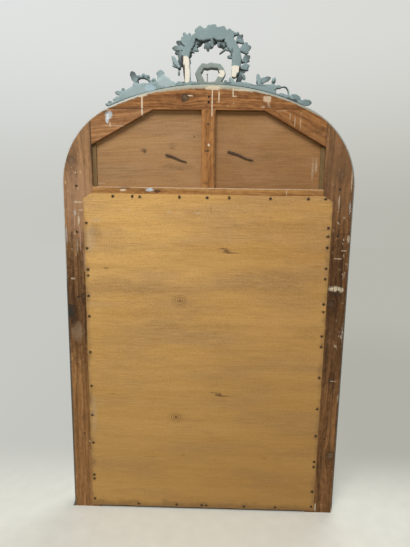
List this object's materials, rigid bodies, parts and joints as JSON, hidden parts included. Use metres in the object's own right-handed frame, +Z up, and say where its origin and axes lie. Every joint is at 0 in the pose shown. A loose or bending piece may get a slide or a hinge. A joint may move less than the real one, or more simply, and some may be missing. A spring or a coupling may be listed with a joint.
{
  "type": "overmantel mirror",
  "caption": "Arched overmantel mirror: pine frame with painted face and mouldings, mirror plate, garlanded upper panel, nailed plywood back and a carved wreath crest.",
  "frame": {"origin": "middle of the part's box in X and Y, at the foot: Z = 0 is the shelf that it stands on", "axes": "+X to the right as seen from the front, +Y back towards the wall (the bare boards), +Z up"},
  "size_m": [0.9, 0.066, 1.5624],
  "materials": {
    "pine": "old bare pine, darkened and planed",
    "dowel_wood": "bare turned wood",
    "panel_wood": "bare thin board, grey-brown",
    "plywood": "bare honey-coloured plywood",
    "mirror_plate": "silvered plate, a little foxed",
    "steel": "dark, rusted wire",
    "forged_iron": "forged, dark brown",
    "face_paint": "matt blue-grey paint, worn",
    "moulding_paint": "matt cream-grey paint, worn",
    "crest_paint": "matt blue-grey paint, chipped to white ground"
  },
  "bodies": {
    "root": {"left_stile": "pine", "right_stile": "pine", "bottom_rail": "pine", "middle_rail": "pine", "top_rail": "pine", "left_haunch": "pine", "right_haunch": "pine", "muntin": "pine", "left_panel_lath": "pine", "right_panel_lath": "pine", "glass_blocks": "pine", "haunch_dowels": "dowel_wood", "crest_dowels": "dowel_wood", "upper_panel": "panel_wood", "back_board": "plywood", "mirror_glass": "mirror_plate", "back_board_nails": "steel", "frame_nails": "steel", "lath_pins": "steel", "crest_pin": "steel", "garland_nails": "forged_iron", "face_left_stile": "face_paint", "face_right_stile": "face_paint", "face_bottom_rail": "face_paint", "face_middle_rail": "face_paint", "face_left_haunch": "face_paint", "face_right_haunch": "face_paint", "face_crown": "face_paint", "left_foot": "face_paint", "right_foot": "face_paint", "base_moulding": "face_paint", "outer_moulding_left": "moulding_paint", "outer_moulding_right": "moulding_paint", "outer_moulding_left_shoulder": "moulding_paint", "outer_moulding_right_shoulder": "moulding_paint", "outer_moulding_crown": "moulding_paint", "mirror_moulding_left": "moulding_paint", "mirror_moulding_right": "moulding_paint", "mirror_moulding_top": "moulding_paint", "mirror_moulding_bottom": "moulding_paint", "panel_moulding_bottom": "moulding_paint", "panel_moulding_left_shoulder": "moulding_paint", "panel_moulding_right_shoulder": "moulding_paint", "panel_moulding_crown": "moulding_paint", "wreath": "crest_paint", "ribbon_loop": "crest_paint", "left_spray": "crest_paint", "right_spray": "crest_paint", "garland": "crest_paint"}
  },
  "joints": []
}
